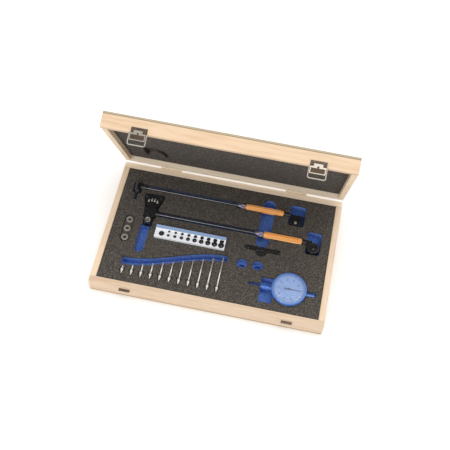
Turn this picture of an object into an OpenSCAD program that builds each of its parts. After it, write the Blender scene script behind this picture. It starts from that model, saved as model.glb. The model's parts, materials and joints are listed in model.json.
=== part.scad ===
// Two-point bore gauge set in a hinged wooden case, in millimetres.
// X runs along the case, Y from the front latches to the rear hinges, Z up.
// The origin is the centre of the case's underside. The lid is drawn at lid_open.

/* [Case] */
// Length of the case
box_l = 390; // [385:1:400]
// Depth of the case from front to back
box_w = 240; // [238:1:250]
// Height of the tray, floor included
base_h = 32; // [32:1:36]
// Height of the lid, panel included
lid_h = 24.8; // [24:0.1:30]
// Thickness of the side boards
wall_t = 10; // [9:0.5:11]
// Thickness of the floor panel and of the lid panel
panel_t = 3.8; // [3:0.1:5]
// Angle of the lid above its closed position
lid_open = 67; // [0:1:105]

/* [Foam] */
// Depth of the dark foam's face below the rim of the tray
foam_drop = 1.5; // [1:0.5:3]
// Thickness of the dark foam layer
dark_t = 4.2; // [3.6:0.1:4.2]
// Depth of the lid foam's face inside the rim of the lid
lid_foam_drop = 8; // [7:0.5:9]

/* [Gauges] */
// Distance of the small gauge's axis behind the centre line
small_y = 76; // [75:0.5:77]
// Distance of the large gauge's axis behind the centre line
large_y = 28; // [27:0.5:29]
// Height of both gauge axes above the underside
gauge_z = 29; // [28.5:0.25:29.5]
// Radius of the small gauge's tube
small_tube_r = 2.6; // [2.3:0.1:2.8]
// Radius of the large gauge's tube
large_tube_r = 2.8; // [2.8:0.1:3]
// Radius of the small gauge's grip
small_grip_r = 5.5; // [5:0.1:5.8]
// Radius of the large gauge's grip
large_grip_r = 5.8; // [5.3:0.1:6]

/* [Dial indicator] */
// Dial centre, to the right of the case centre
dial_x = 129.8; // [128:0.2:131]
// Dial centre, behind the case centre
dial_y = -66.7; // [-68:0.1:-65]
// Outer radius of the bezel
bezel_r = 29; // [28.8:0.1:29.2]

/* [Measuring bolts] */
// Length of the shortest measuring bolt
bolt_min = 14; // [13:0.5:15]
// Step in length from one bolt to the next
bolt_step = 5; // [4.5:0.1:5]
// Spacing of the bolts along the case
bolt_pitch = 16; // [15.5:0.1:16]
// Place of the first bolt along the case
bolt_x0 = -147; // [-148:0.5:-146]
// Place of the bolts' front ends
bolt_front = -95; // [-97:0.5:-94]

/* [Hidden] */
$fn = 48;

half_l = box_l / 2;
half_w = box_w / 2;
in_l = half_l - wall_t;
in_w = half_w - wall_t;
foam_top = base_h - foam_drop;
dark_bottom = foam_top - dark_t;
lid_gap = 0.2;                       // air between the two rims when shut
lid_rim = base_h + lid_gap;
lid_top = lid_rim + lid_h;
lid_foam_face = lid_rim + lid_foam_drop;
above = 30;                          // how far a cutter reaches past the foam
run_fit = 0.05;                      // radial clearance of a running fit

// Hinges: barrel axis just behind the rear face, at the rim
hinge_y = half_w + 3;
hinge_z = base_h;
hinge_x = 112;
hinge_w = 40;
barrel_r = 2.6;
hinge_pin_r = 1.2;
leaf_t = 1.2;
leaf_h = 15;
knuckle_w = 12;
knuckle_gap = 0.4;

// Latches: draw latches on the front of the lid
latch_x = 135;
latch_w = 25;
latch_up = 8.7;                      // plate above the lid rim
latch_plate_t = 0.8;
latch_axis_y = -half_w - 3.9;
latch_axis_z = lid_rim + 2;
latch_barrel_r = 1.7;
latch_pin_r = 0.8;
lever_t = 0.9;
lever_out = 1.6;                     // lever's inner face, outward of its axis
lever_reach = 14;                    // lever tip below its axis
ear_w = 1;
bail_r = 1;
bail_arm = 4.5;                      // bail pivot below the lever axis
bail_in = 0.4;                       // bail pivot outward of the lever axis
bail_len = 16.5;
bail_half = 13.3;
strike_w = 18;
strike_top = base_h - 7.4;

screw_head_r = 2.3;
screw_shank_r = 1.2;

// Small gauge along X
small_head_x = -161;
small_tube_x0 = -150;
small_ferrule_x = 17;
small_ferrule_r = 4.3;
small_grip_x0 = 31;
small_grip_x1 = 98;
small_collet_x1 = 114;
small_clamp_x0 = 110;
small_clamp_x1 = 131;
small_clamp_y0 = 56.5;
small_clamp_y1 = 75;
small_clamp_top = 34;

// Large gauge along X
large_head_x = -127.5;
large_tube_x0 = -118;
large_ferrule_x = 56.5;
large_ferrule_r = 4.6;
large_grip_x0 = 71;
large_grip_x1 = 137;
large_collet_x1 = 149;
large_clamp_x = 157.5;
large_clamp_y = 17.5;
large_clamp_r = 10.5;
collet_r = 3.5;
collet_tip_r = 2.9;
bridge_y0 = 38.5;
bridge_y1 = 61;

// Dial indicator, lying on its back with its stem towards -X
case_r = 27.4;
case_bottom = 15;
case_top = 33;
stem_z = 22.5;
stem_r = 4;
stem_x0 = 84.5;
spindle_r = 2;
spindle_x0 = 64.5;
spindle_x1 = 160;
spindle_travel = 10;                 // measuring range of the dial
cap_x1 = 174;
bezel_bottom = 30.5;
crystal_z = 35.9;
crystal_t = 1.2;
crystal_r = 26.4;
bezel_top = 37.6;

// Measuring bolts
bolt_count = 11;
bolt_z = 29.8;
bolt_shank_r = 1.4;
bolt_collar_r = 2.7;
bolt_tip = 5.5;                      // length of the tapered tip
bolt_collar = 3.5;

// Anvil tray
tray_x0 = -110;
tray_x1 = 11;
tray_y0 = -18;
tray_y1 = 4.6;
tray_z0 = 16;
tray_top = 35;
tray_step_y = -1.6;                   // front edge of the raised rear strip
anvil_count = 9;
anvil_pitch = 11.4;
anvil_x0 = -86.5;
anvil_y = -11.8;
spare_y = -4.3;
knob_x = -98.5;
knob_y = -10.5;
knob_r = 4.4;

// Spacer washers
washer_x = -158.6;
washer_pitch = 17.5;
washer_y0 = -27;
washer_r = 6.2;
washer_bore = 2.8;
washer_t = 2.6;
washer_floor = 27.1;

// Pin spanner
spanner_x0 = 48;
spanner_x1 = 100;
spanner_y = -1.6;
spanner_t = 3.6;
spanner_floor = 27;
spanner_disc_x = 72.5;
spanner_disc_y = -5.2;
spanner_disc_r = 9.2;

// Finger recesses
finger_floor = 10;
head_recess_x0 = -138;
head_recess_x1 = -122;
slot_x0 = 60.5;
slot_x1 = 82.5;
dial_recess_x1 = 105.5;
small_pocket_x0 = 108;
small_pocket_x1 = 135;
large_pocket_x0 = large_clamp_x - 12.5;
large_pocket_x1 = large_clamp_x + 12;

// ---------- shared shapes ----------

// Length and place of the measuring bolt with index i
function bolt_len(i) = bolt_min + bolt_step * i;
function bolt_x(i) = bolt_x0 + bolt_pitch * i;

// Centre line and half width of the curved finger recess behind the bolts
wave_x0 = -152.5;
wave_x1 = 20;
wave_y0 = -70.5;
wave_rise = 39;
wave_n = 24;
function wave_t(x) = (x - wave_x0) / (wave_x1 - wave_x0);
function wave_mid(x) = wave_y0 + wave_rise * (1 - cos(180 * wave_t(x))) / 2;
function wave_half(x) = 7.4 - 1.0 * wave_t(x);

// Upright slot with round ends, cut down to a floor height
module slot_cut(x0, x1, y0, y1, floor_z) {
    w = min(x1 - x0, y1 - y0);
    r = w / 2;
    long_x = (x1 - x0) > (y1 - y0);
    translate([0, 0, floor_z]) {
        if (long_x)
            translate([x0 + r, y0, 0]) cube([x1 - x0 - w, w, above]);
        else
            translate([x0, y0 + r, 0]) cube([w, y1 - y0 - w, above]);
        translate([x0 + r, y0 + r, 0]) cylinder(r = r, h = above);
        translate([x1 - r, y1 - r, 0]) cylinder(r = r, h = above);
    }
}

// Upright box cut down to a floor height
module box_cut(x0, x1, y0, y1, floor_z) {
    translate([x0, y0, floor_z]) cube([x1 - x0, y1 - y0, above]);
}

// The same with rounded corners
module soft_cut(x0, x1, y0, y1, floor_z, r) {
    box_cut(x0 + r, x1 - r, y0, y1, floor_z);
    box_cut(x0, x1, y0 + r, y1 - r, floor_z);
    for (x = [x0 + r, x1 - r], y = [y0 + r, y1 - r]) round_cut(x, y, r, floor_z);
}

// Upright round cut down to a floor height
module round_cut(x, y, r, floor_z) {
    translate([x, y, floor_z]) cylinder(r = r, h = above);
}

// Rod along X from x0 to x1
module rod_x(x0, x1, y, z, r, r2 = -1) {
    translate([x0, y, z]) rotate([0, 90, 0])
        cylinder(r1 = r, r2 = r2 < 0 ? r : r2, h = x1 - x0);
}

// Rod along Y from y0 to y1
module rod_y(x, y0, y1, z, r, r2 = -1) {
    translate([x, y0, z]) rotate([-90, 0, 0])
        cylinder(r1 = r, r2 = r2 < 0 ? r : r2, h = y1 - y0);
}

// Everything on the lid is drawn shut and then swung about the hinge axis
module on_lid() {
    translate([0, hinge_y, hinge_z]) rotate([-lid_open, 0, 0])
        translate([0, -hinge_y, -hinge_z]) children();
}

// Wood screw driven along +Y (dir 1) or -Y (dir -1) from a face
module screw(x, face_y, z, dir, depth = 8) {
    translate([x, face_y, z]) rotate([-90 * dir, 0, 0]) {
        cylinder(r1 = screw_head_r, r2 = screw_shank_r, h = 1.2);
        cylinder(r = screw_shank_r, h = depth);
    }
}

// ---------- places of the screws ----------

module base_hinge_screws() {
    for (s = [-1, 1], k = [-1, 0, 1])
        screw(s * hinge_x + k * 13, half_w + leaf_t, base_h - 9 + abs(k) * 2.5, -1);
}

module strike_screws() {
    for (s = [-1, 1], k = [-1, 1])
        screw(s * latch_x + k * 6, -half_w - 0.8, strike_top - 2.2, 1, 6);
}

module lid_hinge_screws() {
    for (s = [-1, 1], k = [-1, 0, 1])
        screw(s * hinge_x + k * 13, half_w + leaf_t, lid_rim + 9 - abs(k) * 2.5, -1);
}

module latch_screws() {
    for (s = [-1, 1], k = [-1, 1])
        screw(s * latch_x + k * 7.5, -half_w - latch_plate_t, lid_rim + 6.2, 1, 6);
}

// ---------- tray of the case ----------

module base_front_board() {
    color("#f3dcb6") difference() {
        translate([-half_l, -half_w, panel_t]) cube([box_l, wall_t, base_h - panel_t]);
        strike_screws();
    }
}

module base_rear_board() {
    color("#f3dcb6") difference() {
        translate([-half_l, in_w, panel_t]) cube([box_l, wall_t, base_h - panel_t]);
        base_hinge_screws();
    }
}

module base_end_boards() {
    color("#efd5ab") for (s = [-1, 1])
        translate([s > 0 ? in_l : -half_l, -in_w, panel_t])
            cube([wall_t, 2 * in_w, base_h - panel_t]);
}

module base_floor() {
    color("#d8bd8f") translate([-half_l, -half_w, 0]) cube([box_l, box_w, panel_t]);
}

// ---------- foam and its pockets ----------

module gauge_pockets() {
    // small gauge: head, tube, ferrule and grip, end pocket
    box_cut(small_head_x - 7.5, small_head_x + 7.5, small_y - 13.6, small_y + 7.5, 21.5);
    box_cut(small_head_x - 3, small_head_x + 3, small_y - 27, small_y + 13, 25);
    box_cut(small_head_x, small_tube_x0 + 5, small_y - 4.8, small_y + 6.5, 21);
    box_cut(small_head_x, small_ferrule_x + 1, small_y - 3.4, small_y + 6.5, 21);
    box_cut(small_ferrule_x - 1, small_grip_x1 + 1.5,
        small_y - small_grip_r - 0.7, small_y + small_grip_r + 1.4, 22);
    box_cut(small_grip_x1, small_pocket_x0 + 1, small_y - 4, small_y + 4.4, 24);
    soft_cut(small_pocket_x0, small_pocket_x1, small_clamp_y0 - 1, 98, finger_floor, 4);
    // large gauge: boss and head, fan of the bridge, tube, grip, end pocket
    box_cut(large_head_x - 8.5, large_head_x + 8.5, 1, 20, 20.5);
    translate([0, 0, 20.5]) linear_extrude(above) polygon([
        [large_head_x - 10.5, 17], [large_head_x + 10.5, 17],
        [large_head_x + 12, 37], [large_head_x + 17.5, 58],
        [large_head_x + 17.5, 64], [large_head_x + 8, 66],
        [large_head_x - 8, 66], [large_head_x - 17.5, 64],
        [large_head_x - 17.5, 58], [large_head_x - 12, 37],
    ]);
    box_cut(large_head_x, large_ferrule_x + 1, large_y - 5.2, large_y + 5.2, 24);
    box_cut(large_ferrule_x - 1, large_grip_x1 + 1.5,
        large_y - large_grip_r - 0.7, large_y + large_grip_r + 1.4, 22);
    box_cut(large_grip_x1, large_pocket_x0 + 1, large_y - 4, large_y + 4.4, 24);
    soft_cut(large_pocket_x0, large_pocket_x1, large_clamp_y - large_clamp_r - 1, 51.5,
        finger_floor, 4);
}

module finger_recesses() {
    slot_cut(slot_x0, slot_x1, 1.5, 98.5, finger_floor);
    slot_cut(head_recess_x0, head_recess_x1, -51, 6, finger_floor);
    round_cut(45, -34, 9.4, 16);
    round_cut(45, -34, 4.6, finger_floor);
    round_cut(71.5, -33, 9.4, 16);
    round_cut(71.5, -33, 6, finger_floor);
    translate([0, 0, finger_floor]) linear_extrude(above) polygon(concat(
        [for (i = [0 : wave_n]) let (x = wave_x0 + (wave_x1 - wave_x0) * i / wave_n)
            [x, wave_mid(x) + wave_half(x)]],
        [for (i = [wave_n : -1 : 0]) let (x = wave_x0 + (wave_x1 - wave_x0) * i / wave_n)
            [x, wave_mid(x) - wave_half(x)]]
    ));
}

module bolt_pockets() {
    for (i = [0 : bolt_count - 1]) {
        translate([bolt_x(i) - 2.4, bolt_front - 1, 26.7])
            cube([4.8, bolt_len(i) + 2, above]);
        translate([bolt_x(i) - 4.6, bolt_front + bolt_tip - 1.5, 26.7])
            cube([9.2, bolt_collar + 3, above]);
    }
}

module dial_pockets() {
    round_cut(dial_x, dial_y, bezel_r + 0.9, 14.4);
    box_cut(slot_x1, dial_recess_x1, dial_y - 30.3, dial_y + 15.7, finger_floor);
    box_cut(62, 84, dial_y - 2.8, dial_y + 2.8, 19.8);
    box_cut(dial_x + 20, cap_x1 + 1, dial_y - 5, dial_y + 5, 17.5);
}

module small_pockets() {
    box_cut(tray_x0 - 0.8, tray_x1 + 0.8, tray_y0 - 0.8, tray_y1 + 0.8, tray_z0 - 0.4);
    slot_cut(washer_x - 8.6, washer_x + 8.6, -37, 18, washer_floor - 0.3);
    slot_cut(spanner_x0 - 5, spanner_x1 + 5, spanner_y - 4.3, spanner_y + 4.3, spanner_floor - 0.3);
    round_cut(spanner_disc_x, spanner_disc_y, spanner_disc_r + 1, spanner_floor - 0.3);
}

// The foam is built as columns that meet at the recesses' edges, a seam's width apart
foam_cuts = [-in_l, wave_x0, head_recess_x0, head_recess_x1, -50, wave_x1, slot_x0, slot_x1,
    small_pocket_x0, small_pocket_x1, large_pocket_x0, large_pocket_x1, in_l];
seam = 0.05;

module foam_block(z0, z1) {
    difference() {
        for (i = [0 : len(foam_cuts) - 2]) let (x0 = foam_cuts[i] + (i > 0 ? seam : 0))
            translate([x0, -in_w, z0]) cube([foam_cuts[i + 1] - x0, 2 * in_w, z1 - z0]);
        gauge_pockets();
        finger_recesses();
        bolt_pockets();
        dial_pockets();
        small_pockets();
    }
}

module blue_foam() {
    color("#2f53a8") {
        translate([-in_l, -in_w, panel_t])
            cube([2 * in_l, 2 * in_w, finger_floor - seam - panel_t]);
        foam_block(finger_floor, dark_bottom);
    }
}

module dark_foam() {
    color("#4a4642") foam_block(dark_bottom, foam_top);
}

// ---------- hardware on the tray ----------

// Hooked strike under which the bail is drawn
module strike_plates() {
    color("#5c5a55") for (s = [-1, 1]) difference() {
        translate([s * latch_x, -half_w, 0]) {
            translate([-strike_w / 2, -0.8, strike_top - 4.6]) cube([strike_w, 0.8, 4.6]);
            translate([-strike_w / 2, -4.2, strike_top - 1.1]) cube([strike_w, 4, 1.1]);
            translate([-strike_w / 2, -4.2, strike_top - 1.4]) cube([strike_w, 0.8, 1.4]);
        }
        strike_screws();
    }
}

// Knuckles of one hinge: which = 0 gives the middle one, 1 the outer two
module knuckles(which) {
    spots = which == 0 ? [0] : [-1, 1];
    for (s = [-1, 1], k = spots)
        translate([s * hinge_x + k * (knuckle_w + knuckle_gap) - knuckle_w / 2, hinge_y, hinge_z])
            rotate([0, 90, 0]) cylinder(r = barrel_r, h = knuckle_w);
}

// Holes of the hinge pins
module pin_bores(r) {
    for (s = [-1, 1])
        translate([s * hinge_x - hinge_w, hinge_y, hinge_z])
            rotate([0, 90, 0]) cylinder(r = r, h = 2 * hinge_w);
}

module base_hinge_leaves() {
    color("#c9c6bd") difference() {
        union() {
            knuckles(0);
            for (s = [-1, 1]) {
                translate([s * hinge_x - hinge_w / 2, half_w, base_h - leaf_h])
                    cube([hinge_w, leaf_t, leaf_h - barrel_r - 0.6]);
                translate([s * hinge_x - knuckle_w / 2, half_w, base_h - leaf_h])
                    cube([knuckle_w, leaf_t, leaf_h - 0.4]);
            }
        }
        pin_bores(hinge_pin_r + run_fit);
        base_hinge_screws();
    }
}

module hinge_pins() {
    color("#b5b1a6") for (s = [-1, 1])
        translate([s * hinge_x - 1.5 * knuckle_w - knuckle_gap - 0.5, hinge_y, hinge_z])
            rotate([0, 90, 0]) cylinder(r = hinge_pin_r, h = 3 * knuckle_w + 2 * knuckle_gap + 1);
}

module base_screws() {
    color("#b9b5aa") {
        base_hinge_screws();
        strike_screws();
    }
}

// ---------- lid ----------

module lid_front_board() {
    color("#f6e0bb") on_lid() difference() {
        translate([-half_l, -half_w, lid_rim]) cube([box_l, wall_t, lid_h - panel_t]);
        latch_screws();
    }
}

module lid_rear_board() {
    color("#f6e0bb") on_lid() difference() {
        translate([-half_l, in_w, lid_rim]) cube([box_l, wall_t, lid_h - panel_t]);
        lid_hinge_screws();
    }
}

module lid_end_boards() {
    color("#efd5ab") on_lid() for (s = [-1, 1])
        translate([s > 0 ? in_l : -half_l, -in_w, lid_rim])
            cube([wall_t, 2 * in_w, lid_h - panel_t]);
}

module lid_panel() {
    color("#d8bd8f") on_lid()
        translate([-half_l, -half_w, lid_top - panel_t]) cube([box_l, box_w, panel_t]);
}

// The lid foam has a shallow relief over the large gauge's head
module lid_foam() {
    color("#5a534c") on_lid() difference() {
        translate([-in_l, -in_w, lid_foam_face])
            cube([2 * in_l, 2 * in_w, lid_top - panel_t - lid_foam_face]);
        translate([0, 0, lid_foam_face - 1]) linear_extrude(8) polygon([
            [-150, 21], [-134, 6], [-129, 12], [-122, 19], [-114, 28], [-112, 50], [-113, 72],
            [-119, 76], [-119, 55], [-124, 42], [-131, 31], [-145, 61], [-149, 73],
            [-153, 67], [-153, 44],
        ]);
    }
}

module lid_hinge_leaves() {
    color("#c9c6bd") on_lid() difference() {
        union() {
            knuckles(1);
            for (s = [-1, 1]) {
                translate([s * hinge_x - hinge_w / 2, half_w, base_h + barrel_r + 0.6])
                    cube([hinge_w, leaf_t, leaf_h - barrel_r - 0.6]);
                for (k = [-1, 1])
                    translate([s * hinge_x + k * (knuckle_w + knuckle_gap) - knuckle_w / 2,
                        half_w, base_h + 0.4]) cube([knuckle_w, leaf_t, leaf_h - 2]);
            }
        }
        pin_bores(hinge_pin_r + run_fit);
        lid_hinge_screws();
    }
}

module lid_screws() {
    color("#b9b5aa") on_lid() {
        lid_hinge_screws();
        latch_screws();
    }
}

// ---------- latches ----------

// Plate with two rolled knuckles and the lever's pivot pin
module latch_plates() {
    color("#b3afa6") on_lid() for (s = [-1, 1]) difference() {
        union() {
            translate([s * latch_x - latch_w / 2, -half_w - latch_plate_t, lid_rim])
                cube([latch_w, latch_plate_t, latch_up]);
            for (k = [-1, 1]) {
                rod_x(s * latch_x + k * 9.4 - 2, s * latch_x + k * 9.4 + 2,
                    latch_axis_y, latch_axis_z, latch_barrel_r);
                translate([s * latch_x + k * 9.4 - 2, latch_axis_y, latch_axis_z - latch_barrel_r])
                    cube([4, -half_w - latch_axis_y - latch_plate_t / 2, 0.9]);
            }
            rod_x(s * latch_x - 10, s * latch_x + 10, latch_axis_y, latch_axis_z, latch_pin_r);
        }
        latch_screws();
    }
}

// Lever, drawn open and pointing away from the plate
module latch_lever(s) {
    color("#8e8b85") on_lid() translate([s * latch_x, latch_axis_y, latch_axis_z]) difference() {
        union() {
            rod_x(-6.9, 6.9, 0, 0, latch_barrel_r);
            translate([-6.9, -lever_out - lever_t, -4.4]) cube([13.8, lever_t, 5]);
            translate([-6.9, -lever_out - lever_t, -1]) cube([13.8, 1.4, 2]);
            translate([-12, -lever_out - lever_t, -lever_reach]) cube([24, lever_t, lever_reach - 3]);
            translate([-12, -lever_out - lever_t, -lever_reach - 0.2]) cube([24, 1.8, 1]);
            for (k = [-1, 1])
                translate([k > 0 ? 12 - ear_w : -12, -lever_out - lever_t, -6.5])
                    cube([ear_w, 3.9, 3.5]);
        }
        rod_x(-8, 8, 0, 0, latch_pin_r + run_fit);
        rod_x(-13, 13, -bail_in, -bail_arm, bail_r + run_fit);
        translate([0, 2, -4]) rotate([90, 0, 0]) cylinder(r = 1.7, h = 6);
    }
}

module left_latch_lever() {
    latch_lever(-1);
}

module right_latch_lever() {
    latch_lever(1);
}

// Wire bail: two legs and a rounded bottom
module latch_bail(s) {
    corner = 3;
    color("#d6d3cb") on_lid()
    translate([s * latch_x, latch_axis_y - bail_in, latch_axis_z - bail_arm]) {
        for (k = [-1, 1]) {
            rod_x(k > 0 ? 10.4 : -bail_half, k > 0 ? bail_half : -10.4, 0, 0, bail_r);
            translate([k * bail_half, 0, corner - bail_len]) cylinder(r = bail_r, h = bail_len - corner);
            translate([k * bail_half, 0, 0]) sphere(r = bail_r);
            translate([k * (bail_half - corner), 0, corner - bail_len]) rotate([90, 0, 0])
                rotate([0, 0, k > 0 ? 270 : 180]) rotate_extrude(angle = 90)
                    translate([corner, 0]) circle(r = bail_r, $fn = 24);
        }
        rod_x(corner - bail_half, bail_half - corner, 0, -bail_len, bail_r);
    }
}

module left_latch_bail() {
    latch_bail(-1);
}

module right_latch_bail() {
    latch_bail(1);
}

// ---------- small bore gauge ----------

module small_gauge_tube() {
    color("#2a2c33") difference() {
        rod_x(small_tube_x0, small_grip_x1 + 4, small_y, gauge_z, small_tube_r);
        rod_x(small_tube_x0 - 1, small_grip_x1 + 5, small_y, gauge_z, small_tube_r - 1);
    }
}

// Head with its fixed anvil to the front and a bore for the contact behind
module small_gauge_head() {
    color("#1d1d1f") difference() {
        union() {
            rod_y(small_head_x, small_y - 10, small_y + 6.2, gauge_z, 6.2);
            rod_x(small_head_x, small_tube_x0 + 4, small_y, gauge_z, 4.2);
            rod_y(small_head_x, small_y - 26, small_y - 9, gauge_z, 1.7);
            rod_y(small_head_x, small_y - 13, small_y - 9.5, gauge_z, 3.4, 4.6);
        }
        rod_y(small_head_x, small_y - 4, small_y + 7, gauge_z, 1.6 + run_fit);
        rod_x(small_tube_x0, small_tube_x0 + 5, small_y, gauge_z, small_tube_r);
    }
}

module small_gauge_contact() {
    color("#c9c9c9") {
        rod_y(small_head_x, small_y - 2, small_y + 9.5, gauge_z, 1.6);
        translate([small_head_x, small_y + 9.5, gauge_z]) sphere(r = 1.6);
    }
}

module small_gauge_ferrule() {
    color("#a9a6bd") difference() {
        union() {
            rod_x(small_ferrule_x, small_ferrule_x + 5, small_y, gauge_z,
                small_ferrule_r - 0.9, small_ferrule_r);
            rod_x(small_ferrule_x + 5, small_grip_x0, small_y, gauge_z, small_ferrule_r);
        }
        rod_x(small_ferrule_x - 1, small_grip_x0 + 1, small_y, gauge_z, small_tube_r);
    }
}

// Moulded grip with rounded ends and lengthwise flutes
module grip(x0, x1, y, r, bore, flutes) {
    round_end = 2;
    difference() {
        translate([x0, y, gauge_z]) rotate([0, 90, 0]) rotate_extrude() difference() {
            union() {
                square([r - round_end, x1 - x0]);
                translate([0, round_end]) square([r, x1 - x0 - 2 * round_end]);
                translate([r - round_end, round_end]) circle(r = round_end, $fn = 32);
                translate([r - round_end, x1 - x0 - round_end]) circle(r = round_end, $fn = 32);
            }
            translate([-r, -1]) square([r, x1 - x0 + 2]);
            square([bore, x1 - x0]);
        }
        for (k = [0 : flutes - 1])
            rotate_about_x(y, gauge_z, 360 * (k + 0.5) / flutes)
                rod_x(x0 + 6, x1 - 6, y, gauge_z + r + 0.5, 1.3);
    }
}

module rotate_about_x(y, z, a) {
    translate([0, y, z]) rotate([a, 0, 0]) translate([0, -y, -z]) children();
}

module small_gauge_grip() {
    color("#ea9a3c") grip(small_grip_x0, small_grip_x1, small_y, small_grip_r, small_tube_r, 8);
}

// Split collet that takes the dial's stem
module small_gauge_collet() {
    color("#26262a") difference() {
        union() {
            rod_x(small_grip_x1, small_collet_x1 - 6, small_y, gauge_z, collet_r);
            rod_x(small_collet_x1 - 6, small_collet_x1, small_y, gauge_z, collet_tip_r);
        }
        rod_x(small_grip_x1 - 1, small_grip_x1 + 4, small_y, gauge_z, small_tube_r);
        rod_x(small_grip_x1 + 3, small_collet_x1 + 1, small_y, gauge_z, 1.7);
    }
}

// Clamp block on the collet, with a slit, a screw hole and the bore for the dial's stem
module small_gauge_clamp() {
    cy = (small_clamp_y0 + small_clamp_y1) / 2;
    color("#1f1f21") difference() {
        translate([small_clamp_x0, small_clamp_y0, 23])
            cube([small_clamp_x1 - small_clamp_x0, small_clamp_y1 - small_clamp_y0,
                small_clamp_top - 23]);
        rod_x(small_clamp_x0 + 5, small_clamp_x1 + 1, cy, gauge_z, 4);
        translate([small_clamp_x0 + 5, small_clamp_y1 - 4.6, gauge_z])
            cube([small_clamp_x1 - small_clamp_x0 - 4, 1, 8]);
        rod_x(small_clamp_x0 - 1, small_collet_x1, small_y, gauge_z, collet_tip_r);
        translate([(small_clamp_x0 + small_clamp_x1) / 2, small_clamp_y0 + 3, 30.5])
            cylinder(r = 1.2, h = 5);
    }
}

// ---------- large bore gauge ----------

module large_gauge_tube() {
    color("#2a2c33") difference() {
        rod_x(large_tube_x0, large_grip_x1 + 4, large_y, gauge_z, large_tube_r);
        rod_x(large_tube_x0 - 1, large_grip_x1 + 5, large_y, gauge_z, large_tube_r - 1.2);
    }
}

// Head: socket nut to the front, wedge body with the bridge's guides behind
module large_gauge_head() {
    color("#1b1b1d") difference() {
        union() {
            rod_y(large_head_x, 4, 19, gauge_z, 7);
            translate([0, 0, gauge_z - 6.5]) linear_extrude(13) polygon([
                [large_head_x - 9, 18], [large_head_x + 9, 18],
                [large_head_x + 10.5, 36], [large_head_x - 10.5, 36],
            ]);
            rod_x(large_head_x, large_tube_x0 + 6, large_y, gauge_z, 4.8);
            translate([large_head_x, 10.5, gauge_z]) cylinder(r = 6.2, h = 7.8);
        }
        rod_y(large_head_x, 3, 15, gauge_z, 3.6);
        rod_x(large_tube_x0, large_tube_x0 + 7, large_y, gauge_z, large_tube_r);
        rod_y(large_head_x, 21, 37, gauge_z, 1.6 + run_fit);
        for (k = [-1, 1])
            rod_y(large_head_x + k * 6.5, 25, 37, gauge_z, 1.2 + run_fit);
    }
}

// Sprung centring bridge with a roller at each corner and two guide rods
module large_gauge_bridge() {
    color("#19191b") difference() {
        union() {
            translate([0, 0, gauge_z - 4.5]) linear_extrude(9) polygon([
                [large_head_x - 10.9, bridge_y0], [large_head_x + 10.9, bridge_y0],
                [large_head_x + 16, 56.5], [large_head_x + 16, bridge_y1],
                [large_head_x - 16, bridge_y1], [large_head_x - 16, 56.5],
            ]);
            for (k = [-1, 1]) {
                translate([large_head_x + k * 12.4, bridge_y1 - 2.6, gauge_z - 5.5])
                    cylinder(r = 3.6, h = 11);
                rod_y(large_head_x + k * 6.5, 28, bridge_y0 + 1, gauge_z, 1.2);
            }
        }
        rod_y(large_head_x, bridge_y0 - 1, bridge_y1 + 1, gauge_z, 2.2);
    }
}

module large_gauge_contact() {
    color("#d0d0d0") {
        rod_y(large_head_x, 26, 62, gauge_z, 1.6);
        translate([large_head_x, 62, gauge_z]) sphere(r = 1.6);
    }
}

// Rod inside the tube that carries the contact's movement to the dial
module large_gauge_push_rod() {
    color("#a8a8a8") rod_x(large_tube_x0 + 1, large_collet_x1 - 3, large_y, gauge_z, 1.5);
}

module large_gauge_ferrule() {
    color("#a9a6bd") difference() {
        union() {
            rod_x(large_ferrule_x, large_ferrule_x + 5, large_y, gauge_z,
                large_ferrule_r - 0.9, large_ferrule_r);
            rod_x(large_ferrule_x + 5, large_grip_x0, large_y, gauge_z, large_ferrule_r);
        }
        rod_x(large_ferrule_x - 1, large_grip_x0 + 1, large_y, gauge_z, large_tube_r);
    }
}

module large_gauge_grip() {
    color("#ea9a3c") grip(large_grip_x0, large_grip_x1, large_y, large_grip_r, large_tube_r, 8);
}

module large_gauge_collet() {
    color("#26262a") difference() {
        union() {
            rod_x(large_grip_x1, large_collet_x1 - 6, large_y, gauge_z, collet_r);
            rod_x(large_collet_x1 - 6, large_collet_x1, large_y, gauge_z, collet_tip_r);
        }
        rod_x(large_grip_x1 - 1, large_grip_x1 + 4, large_y, gauge_z, large_tube_r);
        rod_x(large_grip_x1 + 3, large_collet_x1 + 1, large_y, gauge_z, 1.7);
    }
}

// Round clamp nut with a dished top, on a lug that the collet goes into
module large_gauge_clamp() {
    color("#1f1f21") difference() {
        union() {
            translate([large_clamp_x, large_clamp_y, gauge_z - 6])
                cylinder(r = large_clamp_r, h = 11);
            translate([large_collet_x1 - 4, large_clamp_y, gauge_z - 4])
                cube([9, large_y + 3.6 - large_clamp_y, 8]);
        }
        translate([large_clamp_x, large_clamp_y, gauge_z + 2])
            cylinder(r = large_clamp_r - 3.2, h = 4);
        rod_x(large_collet_x1 - 6, large_collet_x1, large_y, gauge_z, collet_tip_r);
    }
}

// ---------- loose pieces ----------

// Flat spanner with a round boss and a pin hole at each end, and a thumb disc in the middle
module pin_spanner() {
    color("#202022") translate([0, spanner_y, spanner_floor]) difference() {
        union() {
            translate([spanner_x0, -2, 0]) cube([spanner_x1 - spanner_x0, 4, spanner_t]);
            translate([spanner_x0, 0, 0]) cylinder(r = 3.6, h = spanner_t + 0.8);
            translate([spanner_x1, 0, 0]) cylinder(r = 3.6, h = spanner_t + 0.8);
            translate([spanner_disc_x, spanner_disc_y - spanner_y, 0])
                cylinder(r = spanner_disc_r, h = spanner_t - 1.2);
        }
        for (x = [spanner_x0, spanner_x1])
            translate([x, 0, -1]) cylinder(r = 1.5, h = spanner_t + 3);
    }
}

function anvil_r(i) = 2.4 + 0.33 * i;
function anvil_x(i) = anvil_x0 + anvil_pitch * i;

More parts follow.
